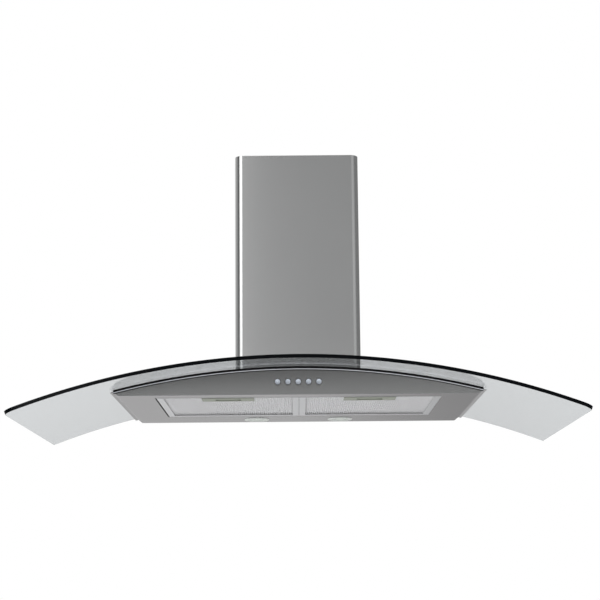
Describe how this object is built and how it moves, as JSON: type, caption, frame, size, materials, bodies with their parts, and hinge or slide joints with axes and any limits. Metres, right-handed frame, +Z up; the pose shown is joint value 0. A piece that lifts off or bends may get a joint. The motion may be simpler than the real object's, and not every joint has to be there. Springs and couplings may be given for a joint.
{
  "type": "curved glass range hood",
  "caption": "Wall range hood: slim steel canopy under a curved glass sheet, grease filters, lamps, push buttons, blower and a telescopic chimney.",
  "frame": {"origin": "on the wall plane at the middle of the hood, level with the canopy's flat underside", "axes": "+X to the user's right, +Y into the wall, +Z up; the user stands towards -Y"},
  "size_m": [1.1, 0.5, 0.584],
  "materials": {
    "canopy_steel": "brushed stainless sheet",
    "galvanised_steel": "galvanised sheet, dull",
    "fascia_steel": "brushed stainless sheet, finely polished",
    "polished_trim": "polished",
    "black_rubber": "matt",
    "clear_glass": "clear toughened sheet with dark ground edges",
    "chimney_steel": "brushed stainless sheet, grain upright",
    "zinc_screws": "zinc plated",
    "wheel_plastic": "moulded",
    "steel_pin": "drawn wire and ground bar",
    "motor_case": "satin black",
    "black_plastic": "moulded, fine texture",
    "capacitor_plastic": "moulded",
    "button_chrome": "satin chrome caps",
    "filter_aluminium": "mill finish, satin",
    "net_aluminium": "expanded mesh, bright",
    "handle_plastic": "moulded, grey green",
    "lamp_glass": "frosted",
    "lamp_reflector": "spun and polished inside",
    "bulb_glass": "clear capsule on a ceramic base"
  },
  "bodies": {
    "hood": {"canopy_pan": "canopy_steel", "canopy_side_left": "canopy_steel", "canopy_side_right": "canopy_steel", "top_plate": "canopy_steel", "canopy_back": "galvanised_steel", "airbox_shell": "galvanised_steel", "airbox_lid": "galvanised_steel", "scroll_band": "galvanised_steel", "scroll_side_left": "galvanised_steel", "scroll_side_right": "galvanised_steel", "chimney_clips": "galvanised_steel", "motor_mount": "galvanised_steel", "control_fascia": "fascia_steel", "fascia_trim": "polished_trim", "lamp_left_trim": "polished_trim", "lamp_right_trim": "polished_trim", "glass_gasket": "black_rubber", "glass_bushes": "black_rubber", "glass_panel": "clear_glass", "lower_chimney": "chimney_steel", "glass_screws": "zinc_screws", "chimney_screws": "zinc_screws", "airbox_screws": "zinc_screws", "motor_screws": "zinc_screws", "collar_screws": "zinc_screws", "damper_pin": "steel_pin", "motor": "motor_case", "outlet_collar": "black_plastic", "junction_box": "black_plastic", "cable_gland": "black_plastic", "switch_module": "black_plastic", "capacitor": "capacitor_plastic", "lamp_left_lens": "lamp_glass", "lamp_left_can": "lamp_reflector", "lamp_left_bulb": "bulb_glass", "lamp_right_lens": "lamp_glass", "lamp_right_can": "lamp_reflector", "lamp_right_bulb": "bulb_glass"},
    "upper_cover": {"upper_chimney": "chimney_steel", "chimney_bracket": "galvanised_steel", "bracket_screws": "zinc_screws"},
    "fan_wheel": {"impeller": "wheel_plastic", "motor_shaft": "steel_pin"},
    "flap_front": {"damper_flap_front": "black_plastic"},
    "flap_rear": {"damper_flap_rear": "black_plastic"},
    "button_1_cap": {"button_1": "button_chrome"},
    "button_2_cap": {"button_2": "button_chrome"},
    "button_3_cap": {"button_3": "button_chrome"},
    "button_4_cap": {"button_4": "button_chrome"},
    "button_5_cap": {"button_5": "button_chrome"},
    "filter_left": {"filter_left_frame": "filter_aluminium", "filter_left_net": "net_aluminium", "filter_left_handle": "handle_plastic", "filter_left_spring": "steel_pin"},
    "catch_left": {"filter_left_catch": "handle_plastic"},
    "filter_right": {"filter_right_frame": "filter_aluminium", "filter_right_net": "net_aluminium", "filter_right_handle": "handle_plastic", "filter_right_spring": "steel_pin"},
    "catch_right": {"filter_right_catch": "handle_plastic"}
  },
  "joints": [
    {"name": "upper_cover_slide", "type": "slide", "parent": "hood", "child": "upper_cover", "axis": [0, 0, 1], "range_m": [0, 0.3]},
    {"name": "fan_spin", "type": "hinge", "parent": "hood", "child": "fan_wheel", "pos_m": [0, -0.08, 0.15], "axis": [1, 0, 0], "continuous": true},
    {"name": "flap_front_swing", "type": "hinge", "parent": "hood", "child": "flap_front", "pos_m": [0, -0.128, 0.316], "axis": [-1, 0, 0], "range_deg": [0, 75]},
    {"name": "flap_rear_swing", "type": "hinge", "parent": "hood", "child": "flap_rear", "pos_m": [0, -0.128, 0.316], "axis": [1, 0, 0], "range_deg": [0, 75]},
    {"name": "button_1_press", "type": "slide", "parent": "hood", "child": "button_1_cap", "axis": [0, 0.9833, 0.1821], "range_m": [0, 0.003], "stiffness_N_per_m": 400, "springref_m": -0.001},
    {"name": "button_2_press", "type": "slide", "parent": "hood", "child": "button_2_cap", "axis": [0, 0.9833, 0.1821], "range_m": [0, 0.003], "stiffness_N_per_m": 400, "springref_m": -0.001},
    {"name": "button_3_press", "type": "slide", "parent": "hood", "child": "button_3_cap", "axis": [0, 0.9833, 0.1821], "range_m": [0, 0.003], "stiffness_N_per_m": 400, "springref_m": -0.001},
    {"name": "button_4_press", "type": "slide", "parent": "hood", "child": "button_4_cap", "axis": [0, 0.9833, 0.1821], "range_m": [0, 0.003], "stiffness_N_per_m": 400, "springref_m": -0.001},
    {"name": "button_5_press", "type": "slide", "parent": "hood", "child": "button_5_cap", "axis": [0, 0.9833, 0.1821], "range_m": [0, 0.003], "stiffness_N_per_m": 400, "springref_m": -0.001},
    {"name": "filter_left_tilt", "type": "hinge", "parent": "hood", "child": "filter_left", "pos_m": [0, -0.0975, 0.0013], "axis": [1, 0, 0], "range_deg": [0, 75]},
    {"name": "catch_left_slide", "type": "slide", "parent": "filter_left", "child": "catch_left", "axis": [0, -1, 0], "range_m": [0, 0.006], "stiffness_N_per_m": 300, "springref_m": 0.01, "deforming": ["filter_left_spring"]},
    {"name": "filter_right_tilt", "type": "hinge", "parent": "hood", "child": "filter_right", "pos_m": [0, -0.0975, 0.0013], "axis": [1, 0, 0], "range_deg": [0, 75]},
    {"name": "catch_right_slide", "type": "slide", "parent": "filter_right", "child": "catch_right", "axis": [0, -1, 0], "range_m": [0, 0.006], "stiffness_N_per_m": 300, "springref_m": 0.01, "deforming": ["filter_right_spring"]}
  ]
}
